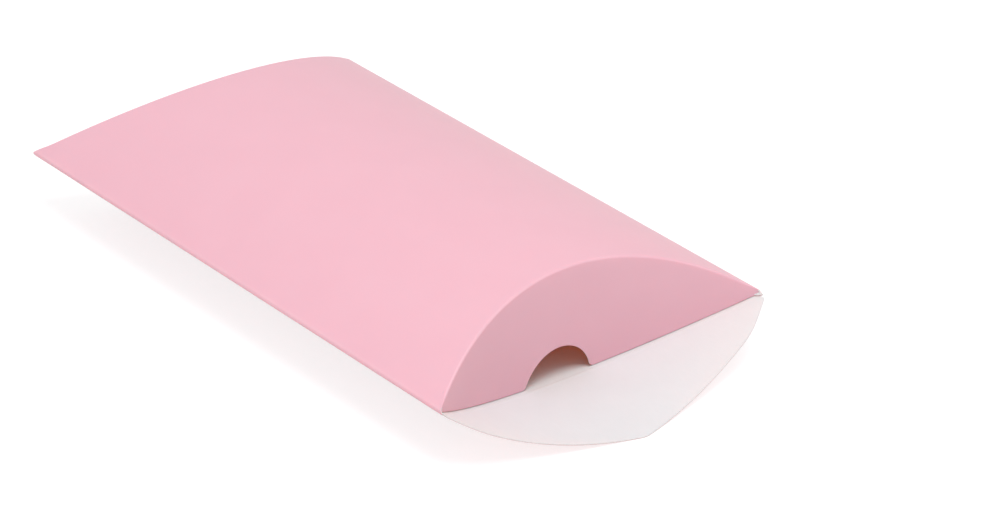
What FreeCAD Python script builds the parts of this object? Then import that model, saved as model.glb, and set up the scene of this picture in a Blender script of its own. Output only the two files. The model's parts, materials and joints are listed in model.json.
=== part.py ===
# Pillow box: a sleeve of folding card with two bowed panels, closed at each end by two flaps on curved creases.
# Millimetres. +Z is up, +Y runs along the sleeve away from the half-open front end, +X is the glued side.
# The origin is on the line that the box rests on, under the middle of the sleeve.
import FreeCAD, Part
import math
import os

V = FreeCAD.Vector

# Driving dimensions
length = 250.0              # between the end corners, along a side fold
width = 165.0               # over the side folds
height = 50.0               # over the two bowed panels
board = 0.5                 # thickness of the card
fold_inside_radius = 0.6    # inside of a side fold
crease_slope = 1.0          # how far a crease runs inward for each millimetre that it leaves the side folds
crease_gap = 0.1            # score line between a panel and its flap, measured square to the crease plane
inner_fold_angle = 91.0     # turn of a flap that is folded in first, in degrees from lying open
outer_fold_angle = 89.5     # turn of a flap that is folded over the first one
lap_gap = 0.25              # air between the two closed flaps at their creases
flap_clearance = 0.4        # free edge of a closed flap to the inside of the panel that it meets
flap_end_inset = 1.9        # how far the blunt end of a flap stops short of the side fold
notch_width = 33.5          # thumb notch in a top flap, along its free edge
notch_depth = 13.1          # how far the notch rises from the free edge
point_reach = 24.0          # how far the point of a bottom flap reaches past the end corners
point_radius = 7.0          # rounding of that point
shoulder_spacing = 128.0    # between the two shoulders of a bottom flap
shoulder_reach = 9.6        # how far the shoulders reach past the end corners
shoulder_radius = 9.0       # rounding of a shoulder
flap_end_reach = 1.2        # how far the blunt ends of a bottom flap reach past the end corners
tab_width = 14.0            # glue tab, along the curve of the panel
tab_end_gap = 4.0           # how far the tab stops short of the creases
glue_film = 0.1             # dried glue between the tab and the bottom panel
glue_clearance = 0.1        # left between the film and the card on both sides of it
glue_edge = 2.0             # bare edge of the tab on both sides of the glue

# Section of the sleeve: each panel is one arc, tangent to the rounded side folds
half_width = width / 2
half_height = height / 2
mid_height = half_height
fold_radius = fold_inside_radius + board
fold_x = half_width - fold_radius
fold_rise = half_height - fold_radius
arc_drop = (fold_x ** 2 / fold_rise - fold_rise) / 2
panel_radius = arc_drop + half_height
fold_turn = math.atan2(fold_x, arc_drop)

# Glued side: the fold carries on into the tab, which lies inside the bottom panel by one board and the glue line
tab_step = board + glue_film + 2 * glue_clearance
tab_radius = panel_radius - tab_step
seam_rise = tab_step * (2 * (panel_radius - fold_radius) - tab_step) / (4 * arc_drop)
seam_x = math.sqrt((panel_radius - fold_radius) ** 2 - (arc_drop + seam_rise) ** 2)
seam_turn_top = math.atan2(seam_x, arc_drop + seam_rise)
seam_turn_tab = math.atan2(seam_x, arc_drop - seam_rise)
raw_edge_turn = math.asin(half_width / panel_radius)

TOP, BOTTOM = 1, -1
FRONT, REAR = -1, 1
outer_flaps = ((FRONT, BOTTOM), (REAR, TOP))
outer_offset = board + lap_gap
flap_half_width = half_width - flap_end_inset
room = length + width       # longer than any cut has to be


def around(centre_x, centre_z, radius, turn):
    """Point on a circle in the section plane; turn is measured from straight up towards +X."""
    return V(centre_x + radius * math.sin(turn), 0, centre_z + radius * math.cos(turn))


def ring_sector(centre_x, centre_z, radius, thickness, start, end):
    """Strip of card in the section plane, bent round a centre, between two turns."""
    def arc(r):
        points = [around(centre_x, centre_z, r, t) for t in (start, (start + end) / 2, end)]
        return Part.Arc(*points).toShape()
    outside = arc(radius)
    inside = arc(radius - thickness)
    side_a = Part.makeLine(outside.Vertexes[-1].Point, inside.Vertexes[-1].Point)
    side_b = Part.makeLine(inside.Vertexes[0].Point, outside.Vertexes[0].Point)
    return Part.Face(Part.Wire(Part.__sortEdges__([outside, side_a, inside, side_b])))


def panel_section(side, start, end, radius=panel_radius, thickness=board):
    """Strip of card on the arc of the top or bottom panel, from start to end, positive towards +X."""
    centre_z = mid_height - side * arc_drop
    if side == TOP:
        return ring_sector(0, centre_z, radius, thickness, start, end)
    return ring_sector(0, centre_z, radius, thickness, math.pi - end, math.pi - start)


def along_sleeve(face):
    """Carries a section the whole way along Y, past both ends."""
    return face.translated(V(0, -room / 2, 0)).extrude(V(0, room, 0))


def end_corner(end, side):
    """Y of the end corners; a flap that folds over the other has its crease a little further out."""
    if (end, side) in outer_flaps:
        return end * (length / 2 + outer_offset)
    return end * length / 2


def crease_y(end, side, rise):
    """Y on the crease plane, at a rise from the side folds towards the panel's crown."""
    return end_corner(end, side) - end * crease_slope * rise


def between_creases(side, inset=0.0):
    """Everything on one side of the side folds that lies between the two crease planes."""
    outline = []
    for end, rise in ((FRONT, 0), (FRONT, height), (REAR, height), (REAR, 0)):
        outline.append(V(-room / 2, crease_y(end, side, rise) - end * inset, mid_height + side * rise))
    return Part.Face(Part.makePolygon(outline + outline[:1])).extrude(V(room, 0, 0))


def crease_plane(end, side, half_span):
    """The slanted plane that holds a curved crease, from well below the side folds to well above the crown."""
    corners = []
    for x, rise in ((-1, -room), (1, -room), (1, height), (-1, height)):
        corners.append(V(x * half_span, crease_y(end, side, rise), mid_height + side * rise))
    return Part.Face(Part.makePolygon(corners + corners[:1]))


def bow(side, radius):
    """Solid round bar along Y, on the axis of a bowed panel."""
    return Part.makeCylinder(radius, 2 * room, V(0, -room, mid_height - side * arc_drop), V(0, 1, 0))


def flap_side_of_crease(end, side, radius):
    """Everything on the flap's side of the mitre: the mitre stands square on the crease plane, along the crease."""
    square = V(0, end, side * crease_slope).normalize()
    below_crease = crease_plane(end, side, room / 2).common(bow(side, radius))
    return below_crease.translated(square * -room).extrude(square * 2 * room)


def panel(side, start, end):
    """Bowed panel, mitred along the curved creases at both ends."""
    card = along_sleeve(panel_section(side, start, end))
    for sleeve_end in (FRONT, REAR):
        card = card.cut(flap_side_of_crease(sleeve_end, side, panel_radius))
    return card


def trimmed_fold(fold):
    """Cuts a side fold to the crease planes at both ends."""
    return fold.common(between_creases(TOP).fuse(between_creases(BOTTOM))).removeSplitter()


def rounded_outline(corners, place):
    """Closed outline with rounded corners, from (x, reach, radius) corners."""
    edges = []
    starts = []
    count = len(corners)
    for i, (x, reach, radius) in enumerate(corners):
        here = V(x, reach, 0)
        back = (V(*corners[i - 1][:2], 0) - here).normalize()
        ahead = (V(*corners[(i + 1) % count][:2], 0) - here).normalize()
        if radius == 0:
            starts.append((here, here))
            continue
        half = back.getAngle(ahead) / 2
        cut = radius / math.tan(half)
        middle = (back + ahead).normalize() * (radius / math.sin(half) - radius)
        first, last = here + back * cut, here + ahead * cut
        edges.append(Part.Arc(place(first), place(here + middle), place(last)).toShape())
        starts.append((first, last))
    for i in range(count):
        edges.append(Part.makeLine(place(starts[i][1]), place(starts[(i + 1) % count][0])))
    return Part.Face(Part.Wire(Part.__sortEdges__(edges)))


def pointed_outline(place):
    """Free edge of a bottom flap: a blunt point between two shoulders, with blunt ends by the side folds."""
    shoulder_x = shoulder_spacing / 2
    return rounded_outline([
        (-flap_half_width, -height, 0),
        (flap_half_width, -height, 0),
        (flap_half_width, flap_end_reach, 0),
        (shoulder_x, shoulder_reach, shoulder_radius),
        (0, point_reach, point_radius),
        (-shoulder_x, shoulder_reach, shoulder_radius),
        (-flap_half_width, flap_end_reach, 0),
    ], place)


def fold_angle(end, side):
    return outer_fold_angle if (end, side) in outer_flaps else inner_fold_angle


def inside_of_panel(side):
    """The room that the free edge of a closed flap has, short of the panel that it meets."""
    return bow(side, panel_radius - board - flap_clearance)


def closed_flap(end, side):
    """Flap folded about its curved crease; the card lies inside the surface that the crease sweeps."""
    turn = math.radians(fold_angle(end, side))
    run = V(0, end * math.cos(turn), -side * math.sin(turn))
    card = bow(side, panel_radius + board).cut(bow(side, panel_radius))
    strip = crease_plane(end, side, flap_half_width).common(card)
    upper = max(strip.Faces, key=lambda face: side * face.CenterOfMass.z)
    flap = upper.extrude(run * room)
    flap = flap.common(flap_side_of_crease(end, side, panel_radius - crease_gap))
    return flap.common(inside_of_panel(-side))


def notched_flap(end):
    """Closed top flap: its free edge follows the inside of the bottom panel, with a round thumb notch."""
    half = notch_width / 2
    edge_radius = panel_radius - board - flap_clearance
    edge_z = mid_height + arc_drop - math.sqrt(edge_radius ** 2 - half ** 2)
    notch_radius = (half ** 2 + notch_depth ** 2) / (2 * notch_depth)
    centre = V(0, -room, edge_z + notch_depth - notch_radius)
    notch = Part.makeCylinder(notch_radius, 2 * room, centre, V(0, 1, 0))
    return closed_flap(end, TOP).cut(notch)


def pointed_flap_closed(end):
    """Closed bottom flap, with its point up inside the top panel."""
    def place(p):
        return V(p.x, -room, mid_height + p.y)
    return closed_flap(end, BOTTOM).common(pointed_outline(place).extrude(V(0, 2 * room, 0)))


def pointed_flap_open(end):
    """Open bottom flap: it carries on the bow of the bottom panel past the end, with a groove at the crease."""
    def place(p):
        return V(p.x, end_corner(end, BOTTOM) + end * p.y, -room)
    card = along_sleeve(panel_section(BOTTOM, -fold_turn, fold_turn))
    root = crease_plane(end, BOTTOM, flap_half_width).common(card)
    root.translate(V(0, end * crease_gap, 0))
    return root.extrude(V(0, end * room, 0)).common(pointed_outline(place).extrude(V(0, 0, 2 * room)))


def glue_tab():
    """Strip on from the seam fold, inside the bottom panel, with its ends cut back along the creases."""
    start = seam_turn_tab - tab_width / tab_radius
    tab = along_sleeve(panel_section(BOTTOM, start, seam_turn_tab, tab_radius))
    return tab.common(between_creases(BOTTOM, tab_end_gap))


def glue_line():
    """Film of glue between the tab and the bottom panel."""
    start = seam_turn_tab - (tab_width - glue_edge) / tab_radius
    end = seam_turn_tab - glue_edge / tab_radius
    film_radius = panel_radius - board - glue_clearance
    film = along_sleeve(panel_section(BOTTOM, start, end, film_radius, glue_film))
    return film.common(between_creases(BOTTOM, tab_end_gap + glue_edge))


def side_fold(centre_x, centre_z, top_turn, bottom_turn):
    """Rounded side fold, from the panel above it to the card below it; turns are from up and from down."""
    return along_sleeve(ring_sector(centre_x, centre_z, fold_radius, board, top_turn, math.pi - bottom_turn))


left_fold = side_fold(fold_x, mid_height, fold_turn, fold_turn).mirror(V(0, 0, 0), V(1, 0, 0))
seam_fold = side_fold(seam_x, mid_height + seam_rise, seam_turn_top, seam_turn_tab)

pieces = {
    "top_panel": panel(TOP, -fold_turn, seam_turn_top),
    "bottom_panel": panel(BOTTOM, -fold_turn, raw_edge_turn),
    "left_fold": trimmed_fold(left_fold),
    "seam_fold": trimmed_fold(seam_fold),
    "glue_tab": glue_tab(),
    "glue_line": glue_line(),
    "front_top_flap": notched_flap(FRONT),
    "front_bottom_flap": pointed_flap_open(FRONT),
    "rear_top_flap": notched_flap(REAR),
    "rear_bottom_flap": pointed_flap_closed(REAR),
}

os.makedirs("parts", exist_ok=True)
for name, shape in pieces.items():
    print(f"{name}: {len(shape.Solids)} solid, valid {shape.isValid()}, {shape.Volume:.1f} mm3")
    shape.Solids[0].exportStep(f"parts/{name}.step")
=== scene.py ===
# Dresses the card pillow box: one creased sheet of pink coated card, white inside, shown as the sleeve and
# its four flaps. Sizes are in millimetres, as in the part's source, and card_sheet turns them into metres.
import json
import math
import bpy
import numpy as np
from mathutils import Matrix, Vector


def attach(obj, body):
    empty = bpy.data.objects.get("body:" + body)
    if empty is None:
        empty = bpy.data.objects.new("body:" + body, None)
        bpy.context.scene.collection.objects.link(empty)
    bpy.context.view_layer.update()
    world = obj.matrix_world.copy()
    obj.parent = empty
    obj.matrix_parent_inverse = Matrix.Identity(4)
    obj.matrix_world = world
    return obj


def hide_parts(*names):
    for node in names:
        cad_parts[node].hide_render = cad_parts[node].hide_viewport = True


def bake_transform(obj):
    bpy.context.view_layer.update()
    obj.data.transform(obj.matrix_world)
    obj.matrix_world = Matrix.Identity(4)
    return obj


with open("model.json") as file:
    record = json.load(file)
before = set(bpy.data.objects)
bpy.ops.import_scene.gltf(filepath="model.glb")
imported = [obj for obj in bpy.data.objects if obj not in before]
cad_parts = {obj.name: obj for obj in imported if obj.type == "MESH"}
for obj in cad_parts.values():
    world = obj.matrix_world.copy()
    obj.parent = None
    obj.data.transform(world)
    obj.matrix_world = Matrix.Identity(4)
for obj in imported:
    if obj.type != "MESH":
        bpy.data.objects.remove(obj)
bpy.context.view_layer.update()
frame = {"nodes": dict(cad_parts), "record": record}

MM = 0.001

# Driving sizes of the box
length = 250.0              # between the end corners, along a side fold
width = 165.0               # over the side folds
height = 50.0               # over the two bowed panels
board = 0.5                 # thickness of the card
fold_radius = 1.1           # outside of a side fold
lap = 0.75                  # how much further out the crease of an outer flap lies
flap_end_inset = 1.2        # blunt end of a flap to the side fold
flap_clearance = 0.4        # free edge of a closed flap to the inside of the panel that it meets
notch_width = 33.5          # thumb notch, along the free edge of a top flap
notch_depth = 13.1          # how far the notch rises from that edge
notch_corner_radius = 2.0   # where the notch runs out into the free edge
point_reach = 24.0          # point of a bottom flap past the end corners
point_cut = 1.5             # half length of the rounding at that point
edge_fall = 0.225           # slope of the long runs from that point
end_margin = 0.25           # ends of a closed bottom flap to the curve of the top panel
shoulder_round = 1.2        # how softly the long runs turn into the ends
tab_width = 14.0            # glue tab, along the curve
tab_step = 0.8              # outside of the tab to the outside of the bottom panel
tab_end_gap = 4.0           # how far the tab stops short of the creases
tab_taper = 3.0             # along the curve, where the tab's ends run in from the fold

# Rounding of the creases
crease_round = 1.1          # length of the rounding on each side of a crease
crease_strip = 1.0          # flat strip of panel that a flap brings along
crease_taper = 5.0          # over this length the rounding fades towards the flap's ends
score_depth = 0.10          # score line pressed into the outside, standing proud inside
score_width = 0.55
end_rounding = 0.04         # share of the rounding that is left at the flap's ends
fold_scuff_shade_width = 1.5              # band of rubbed card and painted light on both sides of a side fold
crease_scuff_shade_width = 1.2            # and on both sides of a crease

# Fineness of the meshes
panel_columns = 96
side_columns = 4            # from the end of a flap to the side fold
notch_columns = 36
corner_columns = 6
plain_columns = 36
fold_columns = 12
tab_columns = 16
sleeve_rows = 24
crease_rows = 9
flap_rows = 14
column_slack = 0.2          # keeps a column at the end of a flap with that flap
corner_halvings = 60        # steps to the place of the notch's corner
sharp_edge = math.radians(50)

# Section of the sleeve, as in the part's source
half_width = width / 2
mid_height = height / 2
fold_x = half_width - fold_radius
fold_rise = mid_height - fold_radius
arc_drop = (fold_x ** 2 / fold_rise - fold_rise) / 2
panel_radius = arc_drop + mid_height
fold_turn = math.atan2(fold_x, arc_drop)
raw_edge_turn = math.asin(half_width / panel_radius)
tab_radius = panel_radius - tab_step
seam_rise = tab_step * (2 * (panel_radius - fold_radius) - tab_step) / (4 * arc_drop)
seam_x = math.sqrt((panel_radius - fold_radius) ** 2 - (arc_drop + seam_rise) ** 2)
seam_turn_top = math.atan2(seam_x, arc_drop + seam_rise)
seam_turn_tab = math.atan2(seam_x, arc_drop - seam_rise)
flap_half_width = half_width - flap_end_inset

TOP, BOTTOM = 1, -1
FRONT, REAR = -1, 1
outer_flaps = ((FRONT, BOTTOM), (REAR, TOP))
joints = {joint["name"]: joint for joint in frame["record"]["behaviour"]["joints"]}


def rise(x, radius=panel_radius):
    """Height of a bowed panel over the side folds, at x from its crown line."""
    return np.sqrt(radius ** 2 - x ** 2) - arc_drop


def end_corner(end, side):
    """Y of the end corners; a flap that folds over the other has its crease a little further out."""
    return end * (length / 2 + (lap if (end, side) in outer_flaps else 0.0))


def eased(t):
    """Runs smoothly from 0 to 1."""
    t = np.clip(t, 0, 1)
    return t * t * (3 - 2 * t)


def crease_fade(x):
    """1 along a crease, nearly 0 at the flap's blunt ends and past them."""
    return end_rounding + (1 - end_rounding) * eased((flap_half_width - np.abs(x)) / crease_taper)


def blank_across(side, x):
    """Place across the flat blank, from the crown of the top panel, along the curve of the card."""
    turn = np.arcsin(x / panel_radius)
    if side == TOP:
        return panel_radius * turn
    between_crowns = 2 * panel_radius * fold_turn + fold_radius * (math.pi - 2 * fold_turn)
    return -between_crowns - panel_radius * turn


def card_sheet(name, outer, inner, blank, crease):
    """Closed mesh of card from the grids of points on its two faces.

    blank holds each point's place on the flat blank, crease how near it is to a fold line."""
    columns, rows = outer.shape[:2]
    count = columns * rows
    index = np.arange(count).reshape(columns, rows)
    quads = np.stack([index[:-1, :-1], index[1:, :-1], index[1:, 1:], index[:-1, 1:]], -1).reshape(-1, 4)
    loop = np.concatenate([index[:-1, 0], index[-1, :-1], index[:0:-1, -1], index[0, :0:-1]])
    ahead = np.roll(loop, -1)
    border = np.stack([ahead, loop, loop + count, ahead + count], -1)
    faces = np.concatenate([quads, quads[:, ::-1] + count, border])
    middle = (columns // 2, rows // 2)
    along = outer[middle[0] + 1, middle[1]] - outer[middle]
    across = outer[middle[0], middle[1] + 1] - outer[middle]
    if np.dot(np.cross(along, across), outer[middle] - inner[middle]) < 0:
        faces = faces[:, ::-1]
    points = np.concatenate([outer.reshape(-1, 3), inner.reshape(-1, 3)]) * MM
    mesh = bpy.data.meshes.new(name)
    mesh.from_pydata(points.tolist(), [], faces.tolist())
    of_corner = np.empty(len(mesh.loops), int)
    mesh.loops.foreach_get("vertex_index", of_corner)
    flat = np.tile(blank.reshape(-1, 2), (2, 1)) * MM
    mesh.uv_layers.new(name="blank").data.foreach_set("uv", flat[of_corner].astype(np.float32).ravel())
    nearness = np.tile(crease.ravel(), 2).astype(np.float32)
    mesh.attributes.new("crease", "FLOAT", "POINT").data.foreach_set("value", nearness)
    through = np.repeat([0.0, 1.0], count).astype(np.float32)
    mesh.attributes.new("through", "FLOAT", "POINT").data.foreach_set("value", through)
    part = np.repeat([0, 1, 2], [len(quads), len(quads), len(border)]).astype(np.int32)
    mesh.polygons.foreach_set("material_index", part)
    mesh.shade_smooth()
    mesh.set_sharp_from_angle(angle=sharp_edge)
    mesh.update()
    sheet = bpy.data.objects.new(name, mesh)
    bpy.context.scene.collection.objects.link(sheet)
    return sheet


def arc_points(centre_x, centre_z, radius, turns):
    """Points and outward directions on an arc of the section; turns are from straight up towards +X."""
    out = np.stack([np.sin(turns), np.cos(turns)], -1)
    return np.array([centre_x, centre_z]) + radius * out, out


def panel_turns(start, end):
    """Turns across a panel, with a column exactly at each end of its flaps."""
    flap_turn = math.asin(flap_half_width / panel_radius)
    middle = np.linspace(-flap_turn, flap_turn, panel_columns + 1)
    low = np.linspace(start, -flap_turn, side_columns + 1)[:-1]
    high = np.linspace(flap_turn, end, side_columns + 1)[1:]
    return np.concatenate([low, middle, high])


def sleeve_sheet():
    """The sheet from its raw edge, round bottom panel, left fold, top panel and seam fold, to the tab."""
    strips = []
    turns = panel_turns(-fold_turn, raw_edge_turn)[::-1]
    strips.append(("bottom", *arc_points(0, mid_height + arc_drop, panel_radius, math.pi - turns)))
    turns = np.linspace(math.pi + fold_turn, 2 * math.pi - fold_turn, fold_columns + 1)[1:-1]
    strips.append(("fold", *arc_points(-fold_x, mid_height, fold_radius, turns)))
    turns = panel_turns(-fold_turn, seam_turn_top)
    strips.append(("top", *arc_points(0, mid_height - arc_drop, panel_radius, turns)))
    turns = np.linspace(seam_turn_top, math.pi - seam_turn_tab, fold_columns + 1)[1:-1]
    strips.append(("fold", *arc_points(seam_x, mid_height + seam_rise, fold_radius, turns)))
    turns = math.pi - np.linspace(seam_turn_tab, seam_turn_tab - tab_width / tab_radius, tab_columns + 1)
    strips.append(("tab", *arc_points(0, mid_height + arc_drop, tab_radius, turns)))

    section = np.concatenate([points for _, points, _ in strips])
    out = np.concatenate([directions for _, _, directions in strips])
    kind = np.concatenate([[name] * len(points) for name, points, _ in strips])
    steps = np.hypot(*np.diff(section, axis=0).T)
    across = np.concatenate([[0], np.cumsum(steps)])
    crown = np.argmin(np.where(kind == "top", np.abs(section[:, 0]), np.inf))
    across -= across[crown] - blank_across(TOP, section[crown, 0])

    lift = section[:, 1] - mid_height
    upper = eased(0.5 + lift / (2 * fold_radius))
    on_panel = np.isin(kind, ("top", "bottom"))
    upper = np.where(on_panel, kind == "top", upper)
    setback = np.where(on_panel, (crease_round + crease_strip) * crease_fade(section[:, 0]), 0.0)
    setback[np.abs(section[:, 0]) > flap_half_width + column_slack] = 0.0
    into_tab = across - across[kind == "tab"][0]
    setback[kind == "tab"] = tab_end_gap * eased(into_tab / tab_taper)[kind == "tab"]
    ends = []
    for end in (FRONT, REAR):
        corner = end_corner(end, BOTTOM) * (1 - upper) + end_corner(end, TOP) * upper
        ends.append(corner - end * (np.abs(lift) + setback))
    share = np.linspace(0, 1, sleeve_rows + 1)
    y = ends[0][:, None] * (1 - share) + ends[1][:, None] * share

    def grid(line):
        return np.stack(np.broadcast_arrays(line[:, 0, None], y, line[:, 1, None]), -1)
    blank = np.stack(np.broadcast_arrays(across[:, None], y), -1)
    nearest_fold = np.abs(across[:, None] - across[kind == "fold"][None, :]).min(1)
    crease = np.broadcast_to(np.exp(-(nearest_fold / fold_scuff_shade_width) ** 2)[:, None], y.shape)
    return card_sheet("sleeve_card", grid(section), grid(section - board * out), blank, crease)


def rounded_corner(x, at, reach, slope_in, slope_out, cut):
    """Height of an edge of two straight runs that meet at a rounded corner."""
    straight = np.where(x < at, reach + slope_in * (x - at), reach + slope_out * (x - at))
    into = np.clip(x - (at - cut), 0, 2 * cut)
    bend = reach - slope_in * cut + slope_in * into + (slope_out - slope_in) / (4 * cut) * into ** 2
    return np.where(np.abs(x - at) < cut, bend, straight)


def pointed_edge(x, margin):
    """Free edge of a bottom flap past the end corners: a blunt point, two long runs and rounded ends.

    Closed, the ends stay under the curve of the top panel by the margin."""
    runs = rounded_corner(np.abs(x), 0.0, point_reach, edge_fall, -edge_fall, point_cut)
    ends = rise(x) - margin
    share = np.clip(0.5 + (ends - runs) / (2 * shoulder_round), 0, 1)
    return ends * (1 - share) + runs * share - shoulder_round * share * (1 - share)


def lower_edge(x):
    """Height of a closed top flap's free edge, along the inside of the bottom panel."""
    return mid_height - rise(x, panel_radius - board - flap_clearance)


notch_radius = ((notch_width / 2) ** 2 + notch_depth ** 2) / (2 * notch_depth)
notch_z = lower_edge(notch_width / 2) + notch_depth - notch_radius


def notch_corner():
    """Centre of the rounding between the notch and the free edge."""
    low, high = notch_width / 2, notch_width / 2 + 3 * notch_corner_radius
    for _ in range(corner_halvings):
        x = (low + high) / 2
        z = lower_edge(x) + notch_corner_radius
        if math.hypot(x, z - notch_z) < notch_radius + notch_corner_radius:
            low = x
        else:
            high = x
    return x, z


corner_x, corner_z = notch_corner()
notch_end_x = corner_x * notch_radius / (notch_radius + notch_corner_radius)


def notched_edge(x):
    """Height of a top flap's free edge, with the half-round thumb notch and its rounded corners."""
    x = np.abs(x)
    notch = notch_z + np.sqrt(np.maximum(notch_radius ** 2 - x ** 2, 0))
    corner = corner_z - np.sqrt(np.maximum(notch_corner_radius ** 2 - (x - corner_x) ** 2, 0))
    return np.where(x <= notch_end_x, notch, np.where(x < corner_x, corner, lower_edge(x)))


def notched_columns():
    """Columns of a top flap, close together where the notch is steep."""
    last = math.asin(notch_end_x / notch_radius)
    inside = notch_radius * np.sin(np.linspace(-last, last, notch_columns + 1))
    first_angle = math.acos((corner_x - notch_end_x) / notch_corner_radius)
    angles = np.linspace(first_angle, math.pi / 2, corner_columns + 1)[1:]
    corner = corner_x - notch_corner_radius * np.cos(angles)
    plain = np.linspace(corner_x, flap_half_width, plain_columns + 1)[1:]
    right = np.concatenate([corner, plain])
    return np.concatenate([-right[::-1], inside, right])


def flap_faces(end, side, turn, x, s):
    """Outer and inner points (y, z) of a flap folded by turn, at x and at s along the card from the crease.

    Negative s lies on the panel. The card rounds the crease over crease_round on both sides of it."""
    round_length = (crease_round * crease_fade(x))[:, None]
    lift = rise(x)[:, None]
    slope = (-x / np.sqrt(panel_radius ** 2 - x ** 2))[:, None]
    crease = np.stack([end_corner(end, side) - end * lift, mid_height + side * lift], -1)
    inward = np.array([-end, 0.0])
    run = np.array([end * math.cos(turn), -side * math.sin(turn)])
    t = np.clip((s + round_length) / (2 * round_length), 0, 1)[..., None]
    bend = round_length[..., None] * ((1 - t) ** 2 * inward + t ** 2 * run)
    past = np.maximum(s - round_length, 0)[..., None] * run
    before = np.maximum(-s - round_length, 0)[..., None] * inward
    outer = crease + bend + past + before
    tangent = t * run - (1 - t) * inward
    tangent = tangent / np.linalg.norm(tangent, axis=-1, keepdims=True)
    inside = side * end * np.stack([tangent[..., 1], -tangent[..., 0]], -1)
    tilt = -end * slope * tangent[..., 1] - side * slope * tangent[..., 0]
    thickness = (board * np.sqrt(1 + tilt ** 2))[..., None]
    score = score_depth * np.exp(-(s / score_width) ** 2) * crease_fade(x)[:, None]
    pressed = score[..., None] * inside
    return outer + pressed, outer + pressed + thickness * inside


def flap_sheet(name, end, side, folded, joint):
    """A flap with the strip of panel by its crease, rounded from panel to flap, built folded to the joint's
    upper limit or laid open flat.
    """
    fold = math.radians(joint["range_deg"][1])
    turn = fold if folded else 0.0
    if side == TOP:
        x = notched_columns()
        reach = (mid_height + rise(x) - notched_edge(x)) / math.sin(fold)
    else:
        x = np.linspace(-flap_half_width, flap_half_width, panel_columns + 1)
        tucked_in = (end, side) not in outer_flaps
        margin = end_margin + (board + flap_clearance if tucked_in else 0.0)
        reach = pointed_edge(x, margin) + rise(x)
    fade = crease_fade(x)[:, None]
    by_crease = np.linspace(-crease_round, crease_round, crease_rows)[None, :] * fade
    strip = -(crease_round + crease_strip) * fade
    onward = np.linspace(0, 1, flap_rows + 1)[None, 1:]
    free = crease_round * fade + (reach[:, None] - crease_round * fade) * onward
    s = np.concatenate([strip, by_crease, free], 1)
    outer, inner = flap_faces(end, side, turn, x, s)

    def grid(points):
        return np.concatenate([np.broadcast_to(x[:, None, None], s.shape + (1,)), points], -1)
    y_open = end_corner(end, side) - end * rise(x)[:, None] + end * s
    blank = np.stack(np.broadcast_arrays(blank_across(side, x)[:, None], y_open), -1)
    crease = np.exp(-(s / crease_scuff_shade_width) ** 2) * fade
    sheet = card_sheet(name + "_card", grid(outer), grid(inner), blank, crease)
    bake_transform(sheet)
    return sheet


# Colours of the finishes, plain and as the light that comes through them
pink_tones = ((0.920, 0.582, 0.700, 1), (0.932, 0.598, 0.716, 1))
pink_fibre_tone = (0.930, 0.64, 0.75, 1)
# Lighter along the folds: rubbed coating, and a painted highlight on the crease.
pink_fold_scuff_and_highlight = (0.945, 0.72, 0.80, 1)
pink_through_tone = (1.0, 0.20, 0.06, 1)
white_tones = ((0.768, 0.850, 0.857, 1), (0.788, 0.870, 0.877, 1))
white_fibre_tone = (0.755, 0.805, 0.810, 1)
# Greyer along the folds: rubbed card, and painted shade in the crease.
white_fold_scuff_and_shade = (0.73, 0.775, 0.775, 1)
white_through_tone = (1.0, 0.88, 0.82, 1)
edge_tones = ((0.74, 0.70, 0.68, 1), (0.60, 0.55, 0.53, 1))
edge_coat_tone = (0.88, 0.49, 0.57, 1)
glue_tones = ((0.80, 0.76, 0.66, 1), (0.90, 0.87, 0.80, 1))

# Surfaces of the finishes; each roughness runs from between the fibres to their tops
satin_roughness = (0.36, 0.44)
inside_roughness = (0.80, 0.92)
edge_roughness = (0.82, 0.95)
glue_roughness = (0.35, 0.55)
rubbed_roughness = 0.12     # added where a fold is rubbed
crack_depth = 0.8           # of a crack in the coating, as a share of the fibres' height
coating_grain = 0.02        # height of the fibres under the coating
paper_grain = 0.04          # height of bare fibres
glue_grain = 0.05           # height of the film's waves
grain_stretch = 0.28        # fibres are longer along the grain by the inverse of this
layer_turn = 26.0           # of the layers' pattern through a cut edge, in radians: about four layers
edge_coat_depth = (0.04, 0.14)  # where the coat ends on a cut edge, as shares of the thickness
edge_smear = 0.12           # coat that the knife has dragged over the fibres
pink_fibre_share = 0.10     # how much the fibres colour the pink face
white_fibre_share = 0.22    # and the white face
pink_share_through = 0.33   # share of light that passes the pink face
white_share_through = 0.25  # and the white face


def add_node(tree, kind, inputs=None, **settings):
    """Adds a node with its settings, and sets or links its inputs by name or number."""
    made = tree.nodes.new(kind)
    for key, value in settings.items():
        setattr(made, key, value)
    for key, value in (inputs or {}).items():
        if isinstance(value, bpy.types.NodeSocket):
            tree.links.new(value, made.inputs[key])
        else:
            made.inputs[key].default_value = value
    return made


def maths(tree, operation, a, b=0.0, clamp=False):
    """Result of one sum on two values."""
    return add_node(tree, "ShaderNodeMath", {0: a, 1: b}, operation=operation, use_clamp=clamp).outputs[0]


def stretch(tree, value, low, high, to_low=0.0, to_high=1.0):
    """Maps a value from one range to another, smoothly and held at the ends."""
    inputs = {"Value": value, "From Min": low, "From Max": high, "To Min": to_low, "To Max": to_high}
    return add_node(tree, "ShaderNodeMapRange", inputs, interpolation_type="SMOOTHSTEP").outputs["Result"]


def mixed(tree, share, a, b):
    """Mix of two colours."""
    made = add_node(tree, "ShaderNodeMix", {"Factor": share}, data_type="RGBA")
    for socket, value in ((made.inputs[6], a), (made.inputs[7], b)):
        if isinstance(value, bpy.types.NodeSocket):
            tree.links.new(value, socket)
        else:
            socket.default_value = value
    return made.outputs[2]


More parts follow.
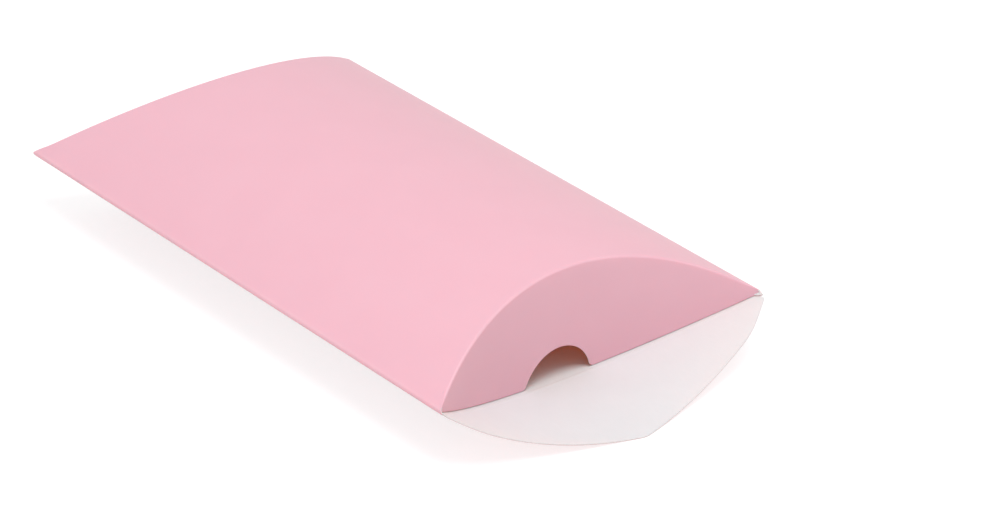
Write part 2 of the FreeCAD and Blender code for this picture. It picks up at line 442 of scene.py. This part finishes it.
def new_group(name, inputs, outputs):
    """Empty shader node group with named sockets."""
    group = bpy.data.node_groups.new(name, "ShaderNodeTree")
    for label, kind in inputs:
        group.interface.new_socket(label, in_out="INPUT", socket_type="NodeSocket" + kind)
    for label, kind in outputs:
        group.interface.new_socket(label, in_out="OUTPUT", socket_type="NodeSocket" + kind)
    return group, group.nodes.new("NodeGroupInput").outputs, group.nodes.new("NodeGroupOutput").inputs


def paper_fibre_group():
    """Fibres of the paper, laid mostly along the grain, and the cloudy look of the sheet."""
    group, given, result = new_group(
        "paper_fibre",
        (("Blank", "Vector"), ("Fibre Scale", "Float"), ("Cloud Scale", "Float")),
        (("Fibre", "Float"), ("Cloud", "Float")),
    )
    along_grain = add_node(
        group, "ShaderNodeVectorMath",
        {0: given["Blank"], 1: (1.0, grain_stretch, 1.0)}, operation="MULTIPLY",
    )
    fibres = add_node(
        group, "ShaderNodeTexNoise",
        {"Vector": along_grain.outputs[0], "Scale": given["Fibre Scale"], "Detail": 5.0, "Roughness": 0.62,
         "Distortion": 0.8},
    )
    cloud = add_node(
        group, "ShaderNodeTexNoise",
        {"Vector": given["Blank"], "Scale": given["Cloud Scale"], "Detail": 3.0, "Roughness": 0.5},
    )
    group.links.new(stretch(group, fibres.outputs["Fac"], 0.28, 0.72), result["Fibre"])
    group.links.new(stretch(group, cloud.outputs["Fac"], 0.25, 0.75), result["Cloud"])
    return group


def fold_scuff_and_shading_group():
    """Band along the folds: where a fold has stretched and rubbed the card, and where its colour holds a
    painted highlight on the pink and painted shade on the white.
    """
    group, given, result = new_group(
        "fold_scuff_and_shading",
        (("Blank", "Vector"), ("Crease", "Float"), ("Amount", "Float")),
        (("Fold Band", "Float"), ("Crack", "Float")),
    )
    fine = add_node(
        group, "ShaderNodeTexNoise",
        {"Vector": given["Blank"], "Scale": 1500.0, "Detail": 4.0, "Roughness": 0.7},
    )
    patchy = add_node(
        group, "ShaderNodeTexNoise",
        {"Vector": given["Blank"], "Scale": 90.0, "Detail": 2.0},
    )
    near = stretch(group, given["Crease"], 0.45, 1.0)
    broken = maths(group, "MULTIPLY", near, stretch(group, patchy.outputs["Fac"], 0.35, 0.65, 0.45, 1.0))
    rubbed = maths(group, "MULTIPLY", broken, stretch(group, fine.outputs["Fac"], 0.35, 0.7, 0.35, 1.0))
    group.links.new(maths(group, "MULTIPLY", rubbed, given["Amount"], clamp=True), result["Fold Band"])
    crack = maths(group, "MULTIPLY", near, stretch(group, fine.outputs["Fac"], 0.52, 0.6))
    group.links.new(crack, result["Crack"])
    return group


paper_fibre = paper_fibre_group()
fold_scuff_and_shading = fold_scuff_and_shading_group()


def new_material(name):
    """Material with a Principled shader, and the card's place on the blank for its patterns."""
    material = bpy.data.materials.new(name)
    material.use_nodes = True
    tree = material.node_tree
    shader = tree.nodes["Principled BSDF"]
    blank = add_node(tree, "ShaderNodeUVMap", uv_map="blank").outputs["UV"]
    return material, tree, shader, blank


def placed(tree, group, inputs):
    """Outputs of a node group that is placed in a material with its own values."""
    return add_node(tree, "ShaderNodeGroup", inputs, node_tree=group).outputs


def card_attribute(tree, name):
    """Value that card_sheet has stored on the mesh."""
    return add_node(tree, "ShaderNodeAttribute", attribute_name=name).outputs["Fac"]


def bumped(tree, shader, height, distance, strength):
    """Feeds a height, in metres at the given distance, to the shader's normal."""
    made = add_node(tree, "ShaderNodeBump", {"Height": height, "Distance": distance, "Strength": strength})
    tree.links.new(made.outputs["Normal"], shader.inputs["Normal"])


def through_light(tree, shader, share, colour):
    """Lets a share of the light pass through this face of the thin card, tinted by it."""
    passed = add_node(tree, "ShaderNodeBsdfTranslucent", {"Color": colour}).outputs[0]
    surface = add_node(tree, "ShaderNodeMixShader", {0: share, 1: shader.outputs[0], 2: passed}).outputs[0]
    tree.links.new(surface, tree.nodes["Material Output"].inputs["Surface"])


def card_tone(tree, fibre, fold_band, tones, fibre_tone, fibre_share, scuffed_shaded_tone):
    """Colour of a face of the card: two cloudy tones, its fibres, and the rubbed folds with painted light: a
    painted highlight on the pink, painted shade on the white.
    """
    tone = mixed(tree, fibre["Cloud"], *tones)
    tone = mixed(tree, maths(tree, "MULTIPLY", fibre["Fibre"], fibre_share), tone, fibre_tone)
    # Along the folds: rubbed card, with a painted highlight on the pink face and painted shade on the white
    # face.
    return mixed(tree, fold_band["Fold Band"], tone, scuffed_shaded_tone)


def pink_coating():
    """Satin pink coating on the outside of the card."""
    material, tree, shader, blank = new_material("pink_coating")
    fibre = placed(tree, paper_fibre, {"Blank": blank, "Fibre Scale": 900.0, "Cloud Scale": 45.0})
    crease = card_attribute(tree, "crease")
    # Lighter along the folds: rubbed coating and a painted highlight.
    fold_band = placed(tree, fold_scuff_and_shading, {"Blank": blank, "Crease": crease, "Amount": 0.55})
    tone = card_tone(tree, fibre, fold_band, pink_tones, pink_fibre_tone, pink_fibre_share, pink_fold_scuff_and_highlight)
    tree.links.new(tone, shader.inputs["Base Color"])
    satin = stretch(tree, fibre["Fibre"], 0.0, 1.0, *satin_roughness)
    rubbed = maths(tree, "ADD", satin, maths(tree, "MULTIPLY", fold_band["Fold Band"], rubbed_roughness))
    tree.links.new(rubbed, shader.inputs["Roughness"])
    uneven = maths(tree, "SUBTRACT", fibre["Fibre"], maths(tree, "MULTIPLY", fold_band["Crack"], crack_depth))
    bumped(tree, shader, uneven, coating_grain * MM, strength=0.5)
    shader.inputs["Specular IOR Level"].default_value = 1.0
    shader.inputs["Coat Weight"].default_value = 0.35
    shader.inputs["Coat Roughness"].default_value = 0.35
    through_light(tree, shader, pink_share_through, pink_through_tone)
    return material


def white_inside():
    """Uncoated white inside of the card."""
    material, tree, shader, blank = new_material("white_inside")
    fibre = placed(tree, paper_fibre, {"Blank": blank, "Fibre Scale": 750.0, "Cloud Scale": 60.0})
    crease = card_attribute(tree, "crease")
    # Greyer along the folds: rubbed card and painted shade.
    fold_band = placed(tree, fold_scuff_and_shading, {"Blank": blank, "Crease": crease, "Amount": 0.7})
    tone = card_tone(tree, fibre, fold_band, white_tones, white_fibre_tone, white_fibre_share, white_fold_scuff_and_shade)
    tree.links.new(tone, shader.inputs["Base Color"])
    tree.links.new(stretch(tree, fibre["Fibre"], 0.0, 1.0, *inside_roughness), shader.inputs["Roughness"])
    bumped(tree, shader, fibre["Fibre"], paper_grain * MM, strength=0.6)
    shader.inputs["Specular IOR Level"].default_value = 0.25
    through_light(tree, shader, white_share_through, white_through_tone)
    return material


def cut_edge():
    """Cut edge of the card: the thin pink coat, then layers of white fibre."""
    material, tree, shader, blank = new_material("cut_edge")
    through = card_attribute(tree, "through")
    fibre = placed(tree, paper_fibre, {"Blank": blank, "Fibre Scale": 2400.0, "Cloud Scale": 140.0})
    layers = maths(tree, "SINE", maths(tree, "MULTIPLY", through, layer_turn))
    layered = maths(tree, "MULTIPLY", stretch(tree, layers, -1.0, 1.0), fibre["Fibre"])
    tone = mixed(tree, layered, *edge_tones)
    coat = stretch(tree, through, *edge_coat_depth, 1.0, 0.0)
    coat = maths(tree, "ADD", coat, maths(tree, "MULTIPLY", fibre["Fibre"], edge_smear))
    tone = mixed(tree, coat, tone, edge_coat_tone)
    tree.links.new(tone, shader.inputs["Base Color"])
    tree.links.new(stretch(tree, fibre["Fibre"], 0.0, 1.0, *edge_roughness), shader.inputs["Roughness"])
    bumped(tree, shader, layered, paper_grain * MM, strength=0.6)
    shader.inputs["Specular IOR Level"].default_value = 0.2
    return material


def dried_glue():
    """Thin film of dried glue, cloudy and uneven."""
    material, tree, shader, _ = new_material("dried_glue")
    place = add_node(tree, "ShaderNodeTexCoord").outputs["Object"]
    film = placed(tree, paper_fibre, {"Blank": place, "Fibre Scale": 500.0, "Cloud Scale": 220.0})
    tree.links.new(mixed(tree, film["Cloud"], *glue_tones), shader.inputs["Base Color"])
    tree.links.new(stretch(tree, film["Fibre"], 0.0, 1.0, *glue_roughness), shader.inputs["Roughness"])
    bumped(tree, shader, film["Cloud"], glue_grain * MM, strength=0.6)
    return material


# The sheet of card, as the sleeve and its four flaps
card_finishes = (pink_coating(), white_inside(), cut_edge())
sleeve = sleeve_sheet()
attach(sleeve, "sleeve")
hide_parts("top_panel", "bottom_panel", "left_fold", "seam_fold", "glue_tab")
sheets = [sleeve]
for name, end, side, folded, crease in (
    ("front_top_flap", FRONT, TOP, True, "front_top_crease"),
    ("front_bottom_flap", FRONT, BOTTOM, False, "front_bottom_crease"),
    ("rear_top_flap", REAR, TOP, True, "rear_top_crease"),
    ("rear_bottom_flap", REAR, BOTTOM, True, "rear_bottom_crease"),
):
    flap = flap_sheet(name, end, side, folded, joints[crease])
    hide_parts(name)
    sheets.append(flap)
for sheet in sheets:
    for finish in card_finishes:
        sheet.data.materials.append(finish)
glue = frame["nodes"]["glue_line"]
glue.data.materials.clear()
glue.data.materials.append(dried_glue())


# Studio: a white floor and sky, and one soft box above the front left of the box
floor_half = 4.0
floor_drop = 0.02           # under the lowest line of the box
floor_tones = ((0.80, 0.80, 0.80, 1), (0.82, 0.82, 0.82, 1))
floor_shadow_tone = (0.30, 0.30, 0.30, 1)
floor_glow = 0.78           # with the light on the shadow's tone, the floor shows white
plain_white = (1, 1, 1, 1)
sky_light = 0.72            # strength of the light that the sky gives
sky_shown = 1.0             # strength at which it is seen
key_place = (-0.3, -0.56, 1.6)
key_size = 0.7
key_power = 17.5
sleeve_bounces = 8          # of the light that comes through the card, inside the sleeve


def seen_plainly(tree):
    """1 where the camera, a reflection or clear glass sees a surface, 0 for the light that it gives."""
    path = add_node(tree, "ShaderNodeLightPath").outputs
    clear = maths(tree, "SUBTRACT", path["Is Transmission Ray"], path["Is Diffuse Ray"], clamp=True)
    seen = maths(tree, "MAXIMUM", path["Is Camera Ray"], path["Is Glossy Ray"])
    return maths(tree, "MAXIMUM", seen, clear)


def floor_finish():
    """White studio floor: it shows white to the camera and keeps a faint shadow of the box."""
    material = bpy.data.materials.new("studio_floor")
    material.use_nodes = True
    tree = material.node_tree
    tree.nodes.clear()
    place = add_node(tree, "ShaderNodeTexCoord").outputs["Object"]
    grain = add_node(tree, "ShaderNodeTexNoise", {"Vector": place, "Scale": 40.0, "Detail": 2.0})
    tone = mixed(tree, grain.outputs["Fac"], *floor_tones)
    matt = add_node(tree, "ShaderNodeBsdfDiffuse", {"Color": tone}).outputs[0]
    faint = add_node(tree, "ShaderNodeBsdfDiffuse", {"Color": floor_shadow_tone}).outputs[0]
    glow = add_node(tree, "ShaderNodeEmission", {"Color": plain_white, "Strength": floor_glow}).outputs[0]
    shown = add_node(tree, "ShaderNodeAddShader", {0: faint, 1: glow}).outputs[0]
    surface = add_node(tree, "ShaderNodeMixShader", {0: seen_plainly(tree), 1: matt, 2: shown}).outputs[0]
    add_node(tree, "ShaderNodeOutputMaterial", {"Surface": surface})
    return material


def studio_floor():
    """Square floor just under the box."""
    half, below = floor_half, -floor_drop * MM
    corners = [(-half, -half, below), (half, -half, below), (half, half, below), (-half, half, below)]
    mesh = bpy.data.meshes.new("studio_floor")
    mesh.from_pydata(corners, [], [(0, 1, 2, 3)])
    mesh.materials.append(floor_finish())
    floor = bpy.data.objects.new("studio_floor", mesh)
    bpy.context.scene.collection.objects.link(floor)


def studio_world():
    """White all round; the light that it gives is a little less than what the camera and reflections see."""
    world = bpy.data.worlds.new("studio_world")
    world.use_nodes = True
    tree = world.node_tree
    tree.nodes.clear()
    strength = stretch(tree, seen_plainly(tree), 0.0, 1.0, sky_light, sky_shown)
    white = add_node(tree, "ShaderNodeBackground", {"Color": plain_white, "Strength": strength}).outputs[0]
    add_node(tree, "ShaderNodeOutputWorld", {"Surface": white})
    bpy.context.scene.world = world


def key_lamp():
    """Square soft box that looks at the middle of the box."""
    lamp = bpy.data.lights.new("key_soft_box", "AREA")
    lamp.shape = "SQUARE"
    lamp.size = key_size
    lamp.energy = key_power
    holder = bpy.data.objects.new("key_soft_box", lamp)
    holder.location = key_place
    aim = Vector((0, 0, mid_height * MM)) - Vector(key_place)
    holder.rotation_euler = aim.to_track_quat("-Z", "Y").to_euler()
    bpy.context.scene.collection.objects.link(holder)


# Where the photograph was taken from; pixels are of its 1000 by 529 frame
frame_width, frame_height = 1000, 529
view_azimuth = math.radians(-44.08)
view_elevation = math.radians(27.60)
view_roll = math.radians(5.07)
view_distance = 1516 * MM
view_focal_pixels = 3853
box_centre_pixel = (391.6, 222.0)
sensor_width = 36.0
view_clip = (0.01, 50.0)


def photo_camera():
    """Camera at the photograph's place, without lens shift."""
    azimuth, elevation = view_azimuth, view_elevation
    back = Vector((math.sin(azimuth) * math.cos(elevation), -math.cos(azimuth) * math.cos(elevation),
                   math.sin(elevation)))
    level = Vector((math.cos(azimuth), math.sin(azimuth), 0))
    upright = back.cross(level)
    right = level * math.cos(view_roll) + upright * math.sin(view_roll)
    up = upright * math.cos(view_roll) - level * math.sin(view_roll)
    aside = (box_centre_pixel[0] - frame_width / 2) * view_distance / view_focal_pixels
    below = (box_centre_pixel[1] - frame_height / 2) * view_distance / view_focal_pixels
    place = Vector((0, 0, mid_height * MM)) + back * view_distance - right * aside + up * below
    lens = bpy.data.cameras.new("photo_camera")
    lens.sensor_fit = "HORIZONTAL"
    lens.sensor_width = sensor_width
    lens.lens = view_focal_pixels / frame_width * sensor_width
    lens.clip_start, lens.clip_end = view_clip
    camera = bpy.data.objects.new("photo_camera", lens)
    turn = Matrix((right, up, back)).transposed().to_4x4()
    camera.matrix_world = Matrix.Translation(place) @ turn
    bpy.context.scene.collection.objects.link(camera)
    bpy.context.scene.camera = camera


studio_floor()
studio_world()
key_lamp()
photo_camera()
bpy.context.scene.view_settings.view_transform = "Standard"
bpy.context.scene.cycles.diffuse_bounces = sleeve_bounces
